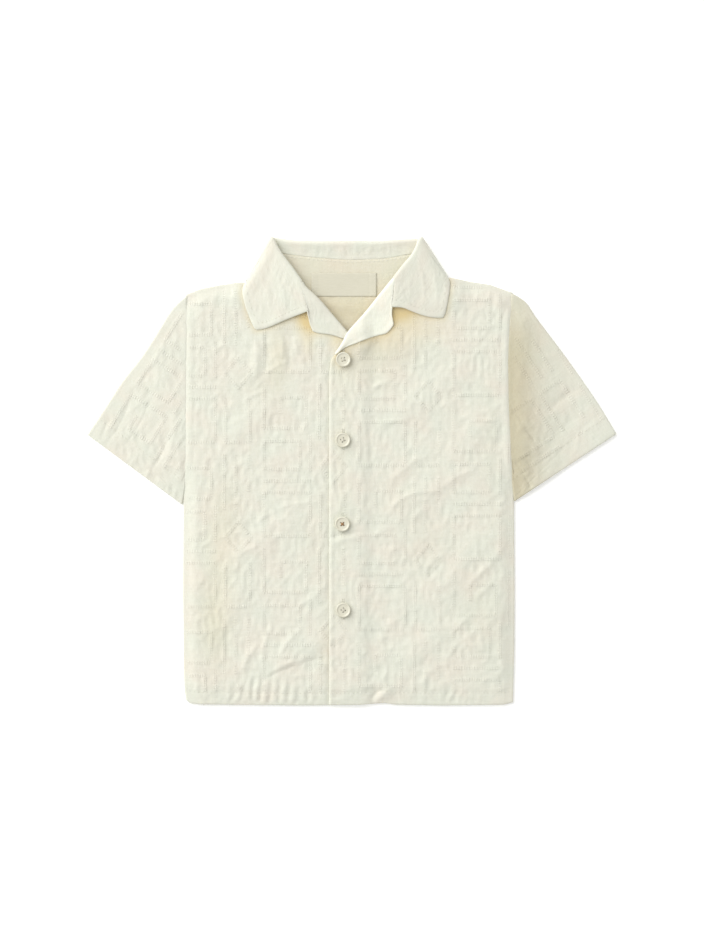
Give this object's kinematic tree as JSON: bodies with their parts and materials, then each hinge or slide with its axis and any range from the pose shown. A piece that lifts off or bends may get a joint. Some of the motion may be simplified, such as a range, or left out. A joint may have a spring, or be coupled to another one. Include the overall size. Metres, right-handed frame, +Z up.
{
  "type": "camp collar shirt",
  "caption": "Child's short-sleeved camp collar shirt, buttoned and laid flat, with a notched open collar and turned-out lapels.",
  "frame": {"origin": "middle of the laid shirt's outline, on the surface it lies on", "axes": "+Y from the hem to the collar, +X towards the wearer's left, +Z up out of the surface, out of the shirt's front"},
  "size_m": [0.4117, 0.3657, 0.0111],
  "materials": {
    "cloth": "ivory crinkled cotton with a raised stitched figure in the same colour",
    "label": "smooth woven label, bare",
    "button": "ivory moulded resin, satin"
  },
  "bodies": {
    "root": {"back": "cloth", "front_right": "cloth", "front_left": "cloth", "sleeve_right": "cloth", "sleeve_left": "cloth", "collar": "cloth", "neck_label": "label", "button_1": "button", "button_2": "button", "button_3": "button", "button_4": "button"}
  },
  "joints": []
}
